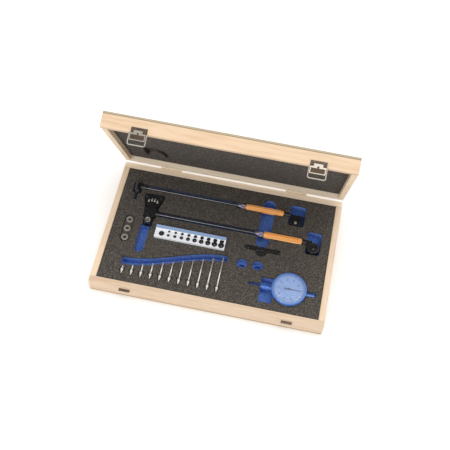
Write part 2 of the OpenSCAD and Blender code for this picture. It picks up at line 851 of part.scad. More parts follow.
// White holder for the small anvils, with a raised strip along its rear edge
module anvil_tray() {
    color("#f2f2f4") difference() {
        union() {
            translate([tray_x0, tray_y0, tray_z0])
                cube([tray_x1 - tray_x0, tray_y1 - tray_y0, tray_top - tray_z0]);
            translate([tray_x0, tray_step_y, tray_z0])
                cube([tray_x1 - tray_x0, tray_y1 - tray_step_y, tray_top - tray_z0 + 2]);
        }
        for (i = [0 : anvil_count - 1]) {
            translate([anvil_x(i), anvil_y, tray_top - 12])
                cylinder(r = anvil_r(i) + run_fit, h = 13);
            translate([anvil_x(i), spare_y, tray_top - 3]) cylinder(r = 1.3 + 0.1 * i, h = 4);
        }
        translate([knob_x, knob_y, tray_top - 10]) cylinder(r = knob_r + run_fit, h = 11);
    }
}

// Small anvils of rising size, and the locking nut at the left end
module small_anvils() {
    color("#2c2c30") {
        for (i = [0 : anvil_count - 1])
            translate([anvil_x(i), anvil_y, tray_top - 12]) {
                cylinder(r = anvil_r(i), h = 12.6);
                translate([0, 0, 12.6]) cylinder(r1 = anvil_r(i), r2 = anvil_r(i) * 0.5, h = 0.8);
            }
        translate([knob_x, knob_y, tray_top - 10]) difference() {
            cylinder(r = knob_r, h = 11);
            translate([0, 0, 3]) cylinder(r = 2.2, h = 9);
        }
    }
}

module spacer_washers() {
    color("#c4c4c4") for (k = [0 : 2])
        translate([washer_x, washer_y0 + washer_pitch * k, washer_floor]) difference() {
            cylinder(r = washer_r, h = washer_t);
            translate([0, 0, -1]) cylinder(r = washer_bore, h = washer_t + 2);
        }
}

// Measuring bolt: tapered tip to the front, collar, then a plain shank
module measuring_bolt(i) {
    y0 = bolt_front;
    y1 = bolt_front + bolt_len(i);
    color("#cfccc6") {
        rod_y(bolt_x(i), y0, y0 + bolt_tip, bolt_z, 0.8, 2.1);
        rod_y(bolt_x(i), y0 + bolt_tip, y0 + bolt_tip + bolt_collar, bolt_z, bolt_collar_r);
        rod_y(bolt_x(i), y0 + bolt_tip + bolt_collar, y1, bolt_z, bolt_shank_r);
    }
}

module bolt_01() { measuring_bolt(0); }
module bolt_02() { measuring_bolt(1); }
module bolt_03() { measuring_bolt(2); }
module bolt_04() { measuring_bolt(3); }
module bolt_05() { measuring_bolt(4); }
module bolt_06() { measuring_bolt(5); }
module bolt_07() { measuring_bolt(6); }
module bolt_08() { measuring_bolt(7); }
module bolt_09() { measuring_bolt(8); }
module bolt_10() { measuring_bolt(9); }
module bolt_11() { measuring_bolt(10); }

// ---------- dial indicator ----------

// Hollow case with its stem; the spindle runs right through it
module dial_case() {
    color("#5f8fd0") difference() {
        union() {
            translate([dial_x, dial_y, case_bottom]) cylinder(r = case_r - 1.4, h = case_top - case_bottom);
            translate([dial_x, dial_y, case_bottom + 3]) cylinder(r = case_r, h = case_top - case_bottom - 3);
            rod_x(stem_x0, dial_x - 20, dial_y, stem_z, stem_r);
            rod_x(dial_x + 20, dial_x + 28, dial_y, stem_z, 3.2);
        }
        translate([dial_x, dial_y, case_bottom + 3]) cylinder(r = case_r - 3, h = case_top);
        rod_x(stem_x0 - 1, dial_x + 30, dial_y, stem_z, spindle_r + run_fit);
    }
}

module dial_face() {
    color("#c3cfee") translate([dial_x, dial_y, case_top]) difference() {
        cylinder(r = case_r - 1, h = 0.6);
        translate([0, 0, -1]) cylinder(r = 1.1, h = 3);
    }
}

// Bezel ring that turns on the case and carries the crystal
module dial_bezel() {
    color("#4f9be0") translate([dial_x, dial_y, 0]) rotate_extrude($fn = 96) polygon([
        [case_r + run_fit, bezel_bottom], [bezel_r, bezel_bottom],
        [bezel_r, bezel_top - 1.6], [bezel_r - 1.6, bezel_top],
        [crystal_r, bezel_top], [crystal_r, crystal_z],
        [crystal_r - 1, crystal_z], [crystal_r - 1, crystal_z - 1],
        [case_r + run_fit, crystal_z - 1],
    ]);
}

module dial_crystal() {
    color("#cfe0f8", 0.35) translate([dial_x, dial_y, crystal_z]) cylinder(r = crystal_r, h = crystal_t);
}

// Hand on its arbor
module dial_pointer() {
    color("#15161a") translate([dial_x, dial_y, 0]) {
        translate([0, 0, 28]) cylinder(r = 1, h = 6.6);
        translate([0, 0, 34.1]) cylinder(r = 2.2, h = 0.9);
        translate([0, 0, 34.2]) linear_extrude(0.5)
            polygon([[-7, 1.3], [-7, -1.3], [0, -1], [21, -0.3], [21, 0.3], [0, 1]]);
    }
}

module dial_spindle() {
    color("#d9dde6") {
        rod_x(spindle_x0 + 3, spindle_x1, dial_y, stem_z, spindle_r);
        rod_x(spindle_x0, spindle_x0 + 3, dial_y, stem_z, 0.9, 1.7);
    }
}

module dial_cap() {
    color("#6fa0dd") difference() {
        union() {
            rod_x(dial_x + 27.5, cap_x1 - 1, dial_y, stem_z, 4);
            rod_x(cap_x1 - 1, cap_x1, dial_y, stem_z, 4, 3);
        }
        rod_x(dial_x + 27, dial_x + 28, dial_y, stem_z, 3.2);
        rod_x(dial_x + 27, spindle_x1 + spindle_travel + 2, dial_y, stem_z, spindle_r + 0.3);
    }
}

// ---------- drawing ----------

base_front_board();
base_rear_board();
base_end_boards();
base_floor();
blue_foam();
dark_foam();
strike_plates();
base_hinge_leaves();
hinge_pins();
base_screws();
lid_front_board();
lid_rear_board();
lid_end_boards();
lid_panel();
lid_foam();
lid_hinge_leaves();
lid_screws();
latch_plates();
left_latch_lever();
left_latch_bail();
right_latch_lever();
right_latch_bail();
small_gauge_tube();
small_gauge_head();
small_gauge_contact();
small_gauge_ferrule();
small_gauge_grip();
small_gauge_collet();
small_gauge_clamp();
large_gauge_tube();
large_gauge_head();
large_gauge_bridge();
large_gauge_contact();
large_gauge_push_rod();
large_gauge_ferrule();
large_gauge_grip();
large_gauge_collet();
large_gauge_clamp();
pin_spanner();
anvil_tray();
small_anvils();
dial_case();
dial_bezel();
dial_crystal();
dial_face();
dial_pointer();
dial_spindle();
dial_cap();
spacer_washers();
bolt_01();
bolt_02();
bolt_03();
bolt_04();
bolt_05();
bolt_06();
bolt_07();
bolt_08();
bolt_09();
bolt_10();
bolt_11();
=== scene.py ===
import json
import math

import bmesh
import bpy
from mathutils import Matrix, Vector

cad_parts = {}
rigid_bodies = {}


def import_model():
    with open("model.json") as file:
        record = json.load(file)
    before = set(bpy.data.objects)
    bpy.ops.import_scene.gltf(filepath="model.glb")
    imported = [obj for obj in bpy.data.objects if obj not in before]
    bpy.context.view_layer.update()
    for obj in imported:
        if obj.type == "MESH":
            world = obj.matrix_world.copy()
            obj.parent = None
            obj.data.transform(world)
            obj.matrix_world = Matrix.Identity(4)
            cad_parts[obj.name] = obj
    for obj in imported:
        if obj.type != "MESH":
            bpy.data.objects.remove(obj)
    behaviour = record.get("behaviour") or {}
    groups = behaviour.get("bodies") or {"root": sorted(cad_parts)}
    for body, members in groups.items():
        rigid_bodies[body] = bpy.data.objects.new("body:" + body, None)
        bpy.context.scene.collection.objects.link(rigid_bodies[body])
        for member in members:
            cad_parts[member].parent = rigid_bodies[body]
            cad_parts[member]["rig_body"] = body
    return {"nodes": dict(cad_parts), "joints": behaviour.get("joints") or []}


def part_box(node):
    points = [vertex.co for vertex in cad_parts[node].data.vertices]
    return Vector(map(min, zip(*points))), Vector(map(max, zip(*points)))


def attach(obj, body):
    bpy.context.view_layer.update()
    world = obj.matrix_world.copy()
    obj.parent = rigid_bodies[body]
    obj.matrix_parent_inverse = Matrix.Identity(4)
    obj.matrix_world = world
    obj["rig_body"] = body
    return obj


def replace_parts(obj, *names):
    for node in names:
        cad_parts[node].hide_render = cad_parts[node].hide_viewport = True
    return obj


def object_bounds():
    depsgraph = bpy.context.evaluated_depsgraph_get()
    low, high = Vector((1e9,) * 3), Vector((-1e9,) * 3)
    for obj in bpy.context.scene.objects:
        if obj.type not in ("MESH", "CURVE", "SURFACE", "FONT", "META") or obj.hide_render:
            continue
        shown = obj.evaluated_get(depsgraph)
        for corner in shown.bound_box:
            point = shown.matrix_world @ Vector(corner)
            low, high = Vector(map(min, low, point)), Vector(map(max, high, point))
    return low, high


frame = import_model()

# Looks of the two-point bore gauge set. Lengths in this script are millimetres unless a name says
# otherwise, and MM turns them into the frame's metres. Positions come from the CAD nodes' boxes.
MM = 0.001
cad_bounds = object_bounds()
LID = -math.radians(next(j for j in frame["joints"] if j["name"] == "lid_hinge")["range_deg"][0])


def box(node):
    """Lowest and highest corners of a CAD node, in millimetres."""
    lo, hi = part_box(node)
    return lo / MM, hi / MM


def middle(node):
    lo, hi = box(node)
    return (lo + hi) / 2


HINGE = middle("hinge_pins")


def on_lid(p):
    """A point given for the shut lid, swung to where the open lid has it."""
    d = Vector(p) - HINGE
    return HINGE + Matrix.Rotation(-LID, 3, "X") @ d


# ---------- colour and material nodes ----------

def srgb(r, g, b):
    """An sRGB colour from 0 to 255 as linear RGBA."""
    def linear(v):
        v = v / 255
        return v / 12.92 if v <= 0.04045 else ((v + 0.055) / 1.055) ** 2.4
    return (linear(r), linear(g), linear(b), 1.0)


def shade(colour, k):
    """The colour made k times as bright."""
    return tuple(min(1.0, c * k) for c in colour[:3]) + (1.0,)


class Finish:
    """A node material around one Principled shader."""

    def __init__(self, name, **sockets):
        self.mat = bpy.data.materials.new(name)
        self.mat.use_nodes = True
        self.tree = self.mat.node_tree
        self.shader = self.tree.nodes["Principled BSDF"]
        for key, value in sockets.items():
            self.shader.inputs[key.replace("_", " ")].default_value = value

    def add(self, kind, inputs, **settings):
        n = self.tree.nodes.new("ShaderNode" + kind)
        for key, value in settings.items():
            setattr(n, key, value)
        for key, value in inputs.items():
            if isinstance(value, bpy.types.NodeSocket):
                self.tree.links.new(value, n.inputs[key])
            else:
                n.inputs[key].default_value = value
        return n

    def coords(self, size, turn=0.0):
        """Object coordinates with one pattern unit per size, turned back by the lid's angle."""
        source = self.add("TexCoord", {}).outputs["Object"]
        return self.add("Mapping", {"Vector": source, "Rotation": (turn, 0, 0),
                                    "Scale": [s * MM for s in size]},
                        vector_type="TEXTURE").outputs[0]

    def noise(self, size, turn=0.0, detail=3.0, roughness=0.6, distortion=0.0):
        return self.add("TexNoise", {"Vector": self.coords(size, turn), "Scale": 1.0,
                                     "Detail": detail, "Roughness": roughness,
                                     "Distortion": distortion}).outputs[0]

    def ramp(self, factor, stops):
        n = self.add("ValToRGB", {"Fac": factor})
        line = n.color_ramp
        while len(line.elements) < len(stops):
            line.elements.new(0.5)
        for e, (place, colour) in zip(line.elements, stops):
            e.position, e.color = place, colour
        return n.outputs[0]

    def remap(self, factor, a, b, c, d):
        return self.add("MapRange", {0: factor, 1: a, 2: b, 3: c, 4: d}).outputs[0]

    def times(self, a, b):
        return self.add("Math", {0: a, 1: b}, operation="MULTIPLY").outputs[0]

    def mix(self, factor, a, b):
        return self.add("Mix", {0: factor, 6: a, 7: b}, data_type="RGBA").outputs[2]

    def edge(self):
        """1 on the rounded edges of a piece, 0 elsewhere."""
        return self.add("Attribute", {}, attribute_name="edge").outputs["Fac"]

    def colour(self, socket):
        self.tree.links.new(socket, self.shader.inputs["Base Color"])

    def rough(self, socket):
        self.tree.links.new(socket, self.shader.inputs["Roughness"])

    def bump(self, height, depth, strength=1.0):
        """Bump of the given depth in millimetres."""
        n = self.add("Bump", {"Height": height, "Strength": strength, "Distance": depth * MM})
        self.tree.links.new(n.outputs[0], self.shader.inputs["Normal"])


def plain(name, colour, rough, size=(6, 6, 6), contrast=0.08, grain=(0.5, 0.5, 0.5), depth=0.03,
          edge_rub_and_painted_highlight=None, edge_rub_and_painted_highlight_amount=0.5, turn=0.0, **sockets):
    """Moulded, painted or metal surface: mottled colour, fine grain in bump and roughness, and
    rounded edges tinted towards a given colour, for rubbed edges and on some finishes a painted
    highlight."""
    f = Finish(name, **sockets)
    patch = f.noise(size, turn)
    fine = f.noise(grain, turn, detail=2.0)
    base = f.ramp(patch, [(0.3, shade(colour, 1 - contrast)), (0.7, shade(colour, 1 + contrast))])
    if edge_rub_and_painted_highlight is not None:
        # rounded edges tinted towards the given colour: rubbed edges, and on the lever, latch
        # plates and spanner a painted highlight
        rubbed_and_lit_edges = f.times(f.edge(), f.remap(fine, 0.4, 0.62, 0.15 * edge_rub_and_painted_highlight_amount, edge_rub_and_painted_highlight_amount))
        base = f.mix(rubbed_and_lit_edges, base, edge_rub_and_painted_highlight)
    f.colour(base)
    f.rough(f.remap(patch, 0.3, 0.7, rough * 0.85, min(1.0, rough * 1.15)))
    f.bump(fine, depth, 0.5)
    return f.mat


def wood(name, light, dark, size, turn=0.0):
    """Pale planed softwood: growth bands, fine fibres and slightly darker rounded edges."""
    f = Finish(name, Specular_IOR_Level=0.35)
    rings = f.noise([s * 2.6 for s in size], turn, detail=2.0, distortion=0.6)
    bands = f.add("Math", {0: f.times(rings, 9.0)}, operation="FRACT").outputs[0]
    fibre = f.noise([s * 0.16 for s in size], turn, detail=4.0, roughness=0.7)
    streak = f.noise(size, turn, detail=3.0)
    base = f.ramp(streak, [(0.25, dark), (0.55, light), (0.8, shade(light, 1.03))])
    base = f.mix(f.remap(bands, 0.0, 1.0, 0.0, 0.22), base, dark)
    base = f.mix(f.remap(fibre, 0.35, 0.75, 0.10, 0.0), base, shade(dark, 0.55))
    base = f.mix(f.times(f.edge(), 0.28), base, shade(dark, 0.8))
    f.colour(base)
    f.rough(f.remap(fibre, 0.3, 0.7, 0.62, 0.46))
    f.bump(fibre, 0.12, 0.45)
    return f.mat


def plywood_edge(name, pale, dark, turn=0.0):
    """Cut edge of the thin panel: veneers in layers."""
    f = Finish(name, Specular_IOR_Level=0.25)
    layers = f.add("TexWave", {"Vector": f.coords((1000, 1000, 8.4), turn), "Scale": 1.0,
                               "Distortion": 0.25, "Detail": 2.0}, bands_direction="Z").outputs[0]
    fibre = f.noise((3, 3, 0.3), turn)
    base = f.ramp(layers, [(0.2, dark), (0.8, pale)])
    f.colour(f.mix(f.remap(fibre, 0.3, 0.7, 0.35, 0.0), base, shade(dark, 0.6)))
    f.rough(f.remap(fibre, 0.3, 0.7, 0.9, 0.7))
    f.bump(fibre, 0.12, 0.5)
    return f.mat


def foam(name, colour, speck, turn=0.0, grain=(2.4, 2.4, 2.4)):
    """Closed-cell foam: tiny cells with painted shade in their pits, pale specks and a soft mottle.
    """
    f = Finish(name, Specular_IOR_Level=0.08, Sheen_Weight=0.04, Sheen_Roughness=0.6)
    cells = f.add("TexVoronoi", {"Vector": f.coords((1.3, 1.3, 1.3), turn), "Scale": 1.0,
                                 "Randomness": 1.0})
    fine = f.noise(grain, turn, detail=4.0, roughness=0.85)
    soft = f.noise((14, 14, 14), turn, detail=3.0)
    base = f.ramp(fine, [(0.36, shade(colour, 0.5)), (0.5, colour), (0.64, speck)])
    base = f.mix(f.remap(soft, 0.3, 0.7, 0.0, 0.25), base, shade(colour, 0.7))
    # the cell pits that the bump sinks are darkened: painted shade
    f.colour(f.mix(f.remap(cells.outputs[0], 0.05, 0.3, 0.35, 0.0), base, shade(colour, 0.45)))
    f.rough(f.remap(fine, 0.3, 0.7, 0.98, 0.82))
    f.bump(f.add("Math", {0: cells.outputs[0], 1: fine}, operation="ADD").outputs[0], 0.35, 0.6)
    return f.mat


STEEL = srgb(196, 194, 190)
M = {
    "wood_x": wood("wood_x", srgb(220, 196, 170), srgb(203, 173, 142), (70, 5, 5)),
    "wood_y": wood("wood_y", srgb(234, 210, 183), srgb(216, 187, 153), (5, 70, 5)),
    "lid_wood_x": wood("lid_wood_x", srgb(219, 192, 162), srgb(204, 172, 137), (70, 5, 5), -LID),
    # paler copy of the wood for the rear boards: painted light on the rims that the open lid shades
    "rear_wood": wood("rear_wood", srgb(242, 225, 202), srgb(228, 206, 178), (70, 5, 5)),
    "lid_rear_wood": wood("lid_rear_wood", srgb(242, 225, 202), srgb(228, 206, 178), (70, 5, 5),
                          -LID),
    "lid_wood_y": wood("lid_wood_y", srgb(234, 211, 182), srgb(216, 187, 152), (5, 70, 5), -LID),
    "ply": wood("ply", srgb(226, 200, 160), srgb(206, 174, 128), (60, 9, 9)),
    "ply_edge": plywood_edge("ply_edge", srgb(216, 190, 150), srgb(150, 126, 92)),
    "lid_ply": wood("lid_ply", srgb(226, 200, 160), srgb(206, 174, 128), (60, 9, 9), -LID),
    "lid_ply_edge": plywood_edge("lid_ply_edge", srgb(196, 180, 152), srgb(146, 130, 104), -LID),
    "foam_dark": foam("foam_dark", srgb(74, 69, 64), srgb(114, 107, 99)),
    "foam_blue": foam("foam_blue", srgb(96, 136, 212), srgb(140, 168, 230)),
    "foam_lid": foam("foam_lid", srgb(68, 62, 57), srgb(106, 98, 90), -LID, (3.2, 4.5, 4.5)),
    "dark_steel": plain("dark_steel", srgb(104, 92, 80), 0.38, edge_rub_and_painted_highlight=STEEL, Metallic=0.9),
    # near-white edge tint of the lever: painted highlight along its rounded edges, with some
    # rubbing
    "lever": plain("lever", srgb(170, 162, 150), 0.3, grain=(2.5, 0.25, 0.25), depth=0.02,
                   edge_rub_and_painted_highlight=srgb(250, 248, 244), turn=-LID, Metallic=0.85),
    # pale edge tint of the dark latch plates: painted highlight lines along their rounded edges
    "latch_brown": plain("latch_brown", srgb(84, 68, 52), 0.4, grain=(2.5, 0.25, 0.25),
                         depth=0.02, edge_rub_and_painted_highlight=srgb(226, 216, 200), turn=-LID, Metallic=0.5),
    "brass": plain("brass", srgb(214, 196, 168), 0.4, size=(4, 4, 4), edge_rub_and_painted_highlight=srgb(236, 222, 198),
                   Metallic=0.35),
    "screw": plain("screw", srgb(186, 178, 164), 0.3, size=(2, 2, 2), edge_rub_and_painted_highlight=STEEL, Metallic=1.0),
    "tube_black": plain("tube_black", srgb(24, 28, 40), 0.18, size=(18, 3, 3), contrast=0.15,
                        grain=(3, 0.3, 0.3), depth=0.01, edge_rub_and_painted_highlight=srgb(110, 120, 146),
                        Coat_Weight=0.7, Coat_Roughness=0.08, Specular_IOR_Level=0.8),
    "head_black": plain("head_black", srgb(27, 27, 29), 0.34, edge_rub_and_painted_highlight=srgb(104, 104, 108),
                        contrast=0.2, depth=0.04, Specular_IOR_Level=0.6),
    "steel": plain("steel", srgb(208, 203, 195), 0.26, size=(3, 3, 3), contrast=0.12,
                   grain=(0.25, 2, 0.25), depth=0.015, edge_rub_and_painted_highlight=srgb(232, 230, 226), Metallic=0.6),
    # darker, duller copy of the steel: partly the washers' own finish, partly painted shade of
    # their pocket; the boss cap shares it
    "washer_steel": plain("washer_steel", srgb(164, 158, 149), 0.32, size=(3, 3, 3), contrast=0.2,
                          edge_rub_and_painted_highlight=srgb(220, 216, 208), Metallic=0.85),
    # near-white edge tint at full strength: painted highlight along the spanner's edges, with some
    # rubbing
    "spanner_black": plain("spanner_black", srgb(28, 28, 30), 0.3, size=(8, 3, 3), contrast=0.2,
                           edge_rub_and_painted_highlight=srgb(226, 226, 220), edge_rub_and_painted_highlight_amount=1.0, Specular_IOR_Level=0.8),
    "ferrule": plain("ferrule", srgb(150, 143, 160), 0.34, grain=(0.3, 1.2, 1.2), depth=0.03,
                     edge_rub_and_painted_highlight=srgb(205, 202, 214), Metallic=0.85),
    "tray_white": plain("tray_white", srgb(236, 238, 242), 0.4, contrast=0.03,
                        edge_rub_and_painted_highlight=srgb(250, 250, 250), depth=0.02, Specular_IOR_Level=0.45),
    "tray_band": plain("tray_band", srgb(150, 174, 212), 0.36, contrast=0.06,
                       edge_rub_and_painted_highlight=srgb(206, 218, 238), depth=0.02),
    "anvil_dark": plain("anvil_dark", srgb(26, 26, 31), 0.34, size=(2, 2, 2), contrast=0.25,
                        edge_rub_and_painted_highlight=srgb(96, 96, 104), Metallic=0.2),
    "dark_metal": plain("dark_metal", srgb(92, 88, 84), 0.34, size=(2, 2, 2),
                        edge_rub_and_painted_highlight=srgb(180, 176, 170), Metallic=0.9),
    "dial_body": plain("dial_body", srgb(62, 108, 196), 0.3, contrast=0.06, depth=0.02,
                       edge_rub_and_painted_highlight=srgb(128, 164, 226), Coat_Weight=0.4, Coat_Roughness=0.12),
    "dial_bezel": plain("dial_bezel", srgb(76, 118, 190), 0.3, contrast=0.06, depth=0.02,
                        edge_rub_and_painted_highlight=srgb(150, 184, 236), Coat_Weight=0.5, Coat_Roughness=0.1),
    "dial_face": plain("dial_face", srgb(138, 162, 208), 0.5, size=(20, 20, 20), contrast=0.04,
                       depth=0.01),
    "dial_stem": plain("dial_stem", srgb(96, 138, 206), 0.25, grain=(0.3, 2, 2), contrast=0.1,
                       edge_rub_and_painted_highlight=srgb(170, 196, 236), Metallic=0.6),
    "ink": plain("ink", srgb(30, 40, 78), 0.6, size=(2, 2, 2), contrast=0.1, depth=0.005),
    "hand_black": plain("hand_black", srgb(18, 20, 30), 0.4, size=(3, 3, 3), contrast=0.1,
                        edge_rub_and_painted_highlight=srgb(70, 74, 90), depth=0.01),
}


def grip_finish():
    """Orange moulded grip: satin, with long pale and dark streaks whose pale ones partly paint
    highlight lines along it, and lighter edges that are a painted highlight.
    """
    f = Finish("grip_orange", Specular_IOR_Level=0.5, Coat_Weight=0.15, Coat_Roughness=0.3)
    # long pale and dark streaks along the grip; the pale ones partly paint its highlight lines
    patch = f.noise((90, 1.5, 1.5), detail=2.0)
    fine = f.noise((0.35, 0.35, 0.35), detail=2.0)
    base = f.ramp(patch, [(0.35, srgb(218, 134, 54)), (0.5, srgb(240, 164, 84)),
                          (0.65, srgb(252, 196, 128))])
    # rounded edges lightened towards pale orange: painted highlight
    base = f.mix(f.times(f.edge(), 0.45), base, srgb(252, 196, 122))
    f.colour(base)
    f.rough(f.remap(fine, 0.3, 0.7, 0.34, 0.5))
    f.bump(fine, 0.05, 0.5)
    return f.mat


def crystal_finish():
    """Clear acrylic with a faint blue cast and a few hairline scratches."""
    f = Finish("dial_crystal", Alpha=0.14, Specular_IOR_Level=0.9, IOR=1.49)
    scratch = f.noise((12, 0.2, 1), detail=1.0)
    f.colour(f.ramp(scratch, [(0.4, srgb(176, 206, 250)), (0.7, srgb(206, 226, 255))]))
    f.rough(f.remap(scratch, 0.55, 0.75, 0.04, 0.16))
    return f.mat


M["grip_orange"] = grip_finish()
M["dial_crystal"] = crystal_finish()


# ---------- mesh helpers ----------

def tidy(bm, weld=1e-6, flat=0.6):
    """Welds the split corners and clears edges inside flat faces."""
    bmesh.ops.remove_doubles(bm, verts=bm.verts, dist=weld)
    bmesh.ops.dissolve_limit(bm, angle_limit=math.radians(flat), verts=bm.verts, edges=bm.edges)
    bmesh.ops.dissolve_degenerate(bm, dist=weld, edges=bm.edges)


def round_edges(bm, width, segments=2, angle=38):
    """Rounds the sharp edges and marks the new faces in the edge attribute."""
    layer = bm.faces.layers.float.get("edge") or bm.faces.layers.float.new("edge")
    sharp = [e for e in bm.edges
             if len(e.link_faces) == 2 and e.calc_face_angle(0) > math.radians(angle)]
    if sharp and width > 0:
        made = bmesh.ops.bevel(bm, geom=sharp, offset=width * MM, offset_type="OFFSET",
                               segments=segments, profile=0.5, affect="EDGES",
                               clamp_overlap=True)
        for face in made["faces"]:
            if face.is_valid:
                face[layer] = 1.0


def as_object(bm, name, mats, body, choose=None, smooth=40):
    """Turns the mesh into a piece on a body, with its finish and material slot."""
    mesh = bpy.data.meshes.new(name)
    for face in bm.faces:
        face.smooth = True
        if choose:
            face.material_index = choose(face)
    bm.to_mesh(mesh)
    bm.free()
    mesh.set_sharp_from_angle(angle=math.radians(smooth))
    for m in mats:
        mesh.materials.append(M[m])
    obj = bpy.data.objects.new(name, mesh)
    bpy.context.scene.collection.objects.link(obj)
    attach(obj, body)
    return obj


def from_node(node):
    """The CAD node's mesh as a bmesh of its own."""
    bm = bmesh.new()
    bm.from_mesh(frame["nodes"][node].data)
    tidy(bm)
    return bm


def loose_parts(bm):
    """The separate solids of a mesh, each as a list of its vertices."""
    seen, parts = set(), []
    for start in bm.verts:
        if start in seen:
            continue
        seen.add(start)
        part = [start]
        for v in part:         # the list grows as it is walked
            for e in v.link_edges:
                other = e.other_vert(v)
                if other not in seen:
                    seen.add(other)
                    part.append(other)
        parts.append(part)
    return parts


def piece(node, mats, width=0.3, segments=2, choose=None, angle=38):
    """A finished copy of a CAD node, with rounded edges, that stands for it."""
    bm = from_node(node)
    round_edges(bm, width, segments, angle)
    obj = as_object(bm, node + "_piece", [mats] if isinstance(mats, str) else mats,
                    frame["nodes"][node]["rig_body"], choose)
    weighted = obj.modifiers.new("even_shading", "WEIGHTED_NORMAL")
    weighted.keep_sharp = True
    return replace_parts(obj, node)


def placing(origin, axis, across=None):
    """Matrix whose Z runs along axis from origin, with X towards across."""
    z = Vector(axis).normalized()
    x = Vector(across or (0, 0, 1) if abs(z.z) < 0.9 else (1, 0, 0))
    x = (x - z * x.dot(z)).normalized()
    axes = Matrix((x, z.cross(x), z)).transposed().to_4x4()
    return Matrix.Translation(Vector(origin) * MM) @ axes


def lathe(bm, profile, where, sides=48, knurl=(), ring=False):
    """Adds a solid turned from (radius, height) points, or a ring if they go round in a loop.
    knurl gives (first point, last point, depth): the stretches between are ribbed."""
    rings = []
    for k, (r, h) in enumerate(profile):
        ribs = [d for a, b, d in knurl if a <= k <= b]
        circle = []
        for s in range(sides):
            rr = r - (ribs[0] if ribs and s % 2 else 0)
            a = 2 * math.pi * s / sides
            circle.append(bm.verts.new(where @ Vector((rr * math.cos(a) * MM,
                                                       rr * math.sin(a) * MM, h * MM))))
        rings.append(circle)
    for a, b in zip(rings, rings[1:] + (rings[:1] if ring else [])):
        for s in range(sides):
            t = (s + 1) % sides
            bm.faces.new((a[s], a[t], b[t], b[s]))
    if not ring:
        bm.faces.new(list(reversed(rings[0])))
        bm.faces.new(rings[-1])


def slab(bm, lo, hi, where=Matrix.Identity(4)):
    """Adds a box between two corners, in millimetres."""
    grid = [[[bm.verts.new(where @ Vector((x * MM, y * MM, z * MM))) for z in (lo[2], hi[2])]
             for y in (lo[1], hi[1])] for x in (lo[0], hi[0])]
    v = lambda i, j, k: grid[i][j][k]
    for quad in (((0, 0, 0), (0, 1, 0), (1, 1, 0), (1, 0, 0)),
                 ((0, 0, 1), (1, 0, 1), (1, 1, 1), (0, 1, 1)),
                 ((0, 0, 0), (1, 0, 0), (1, 0, 1), (0, 0, 1)),
                 ((0, 1, 0), (0, 1, 1), (1, 1, 1), (1, 1, 0)),
                 ((0, 0, 0), (0, 0, 1), (0, 1, 1), (0, 1, 0)),
                 ((1, 0, 0), (1, 1, 0), (1, 1, 1), (1, 0, 1))):
        bm.faces.new([v(*q) for q in quad])


def screw_head(bm, where, radius, height=0.25, recess=0.6, slot_only=False):
    """Adds a low screw head with a cross or a single slot sunk into its top."""
    arm, half = radius * 0.66, radius * 0.14
    cross = [(arm, half), (half, half), (half, arm), (-half, arm), (-half, half), (-arm, half),
             (-arm, -half), (-half, -half), (-half, -arm), (half, -arm), (half, -half),
             (arm, -half)]
    if slot_only:
        cross = [(arm * 1.2, half), (-arm * 1.2, half), (-arm * 1.2, -half), (arm * 1.2, -half)]
    sides = 24
    circle = lambda r, h: [bm.verts.new(where @ Vector((
        r * math.cos(2 * math.pi * s / sides) * MM, r * math.sin(2 * math.pi * s / sides) * MM,
        h * MM))) for s in range(sides)]
    foot, rim = circle(radius, -0.4), circle(radius, height * 0.3)
    top = circle(radius * 0.86, height)
    for a, b in ((foot, rim), (rim, top)):
        for s in range(sides):
            bm.faces.new((a[s], a[(s + 1) % sides], b[(s + 1) % sides], b[s]))
    bm.faces.new(list(reversed(foot)))
    mouth = [bm.verts.new(where @ Vector((x * MM, y * MM, height * MM))) for x, y in cross]
    floor = [bm.verts.new(where @ Vector((x * 0.8 * MM, y * 0.8 * MM, (height - recess) * MM)))
             for x, y in cross]
    loops = [bm.edges.get((a, b)) or bm.edges.new((a, b))
             for ring in (top, mouth) for a, b in zip(ring, ring[1:] + ring[:1])]
    bmesh.ops.triangle_fill(bm, edges=loops, use_beauty=True, normal=where.to_3x3().col[2])
    for k in range(len(cross)):
        j = (k + 1) % len(cross)
        bm.faces.new((mouth[k], mouth[j], floor[j], floor[k]))
    bm.faces.new(floor)


def made(bm, name, mat, body, slot, width=0.0, smooth=40):
    """Finishes a mesh that was built here and hands it to a body."""
    bmesh.ops.recalc_face_normals(bm, faces=bm.faces)
    if width:
        round_edges(bm, width)
    return as_object(bm, name, [mat], body, smooth=smooth)


# ---------- wooden case ----------

def panel_faces(normal):
    """Picks the edge finish for a panel's narrow sides; normal points out of its broad side."""
    n = Vector(normal)
    return lambda face: 0 if abs(face.normal.dot(n)) > 0.6 else 1


lid_up = Matrix.Rotation(-LID, 3, "X") @ Vector((0, 0, 1))
piece("base_front_board", "wood_x", 0.9, 3)
# the rear board takes the paler wood: painted light on its rim, which the open lid shades
piece("base_rear_board", "rear_wood", 0.9, 3)
piece("base_end_boards", "wood_y", 0.7, 3)
piece("base_floor", ["ply", "ply_edge"], 0.4, 2, panel_faces((0, 0, 1)))
piece("lid_front_board", "lid_wood_x", 0.9, 3)
# the lid's rear board takes the paler wood too: painted light on its inner rim
piece("lid_rear_board", "lid_rear_wood", 0.9, 3)
piece("lid_end_boards", "lid_wood_y", 0.7, 3)
piece("lid_panel", ["lid_ply", "lid_ply_edge"], 0.4, 2, panel_faces(lid_up))


# ---------- foam ----------

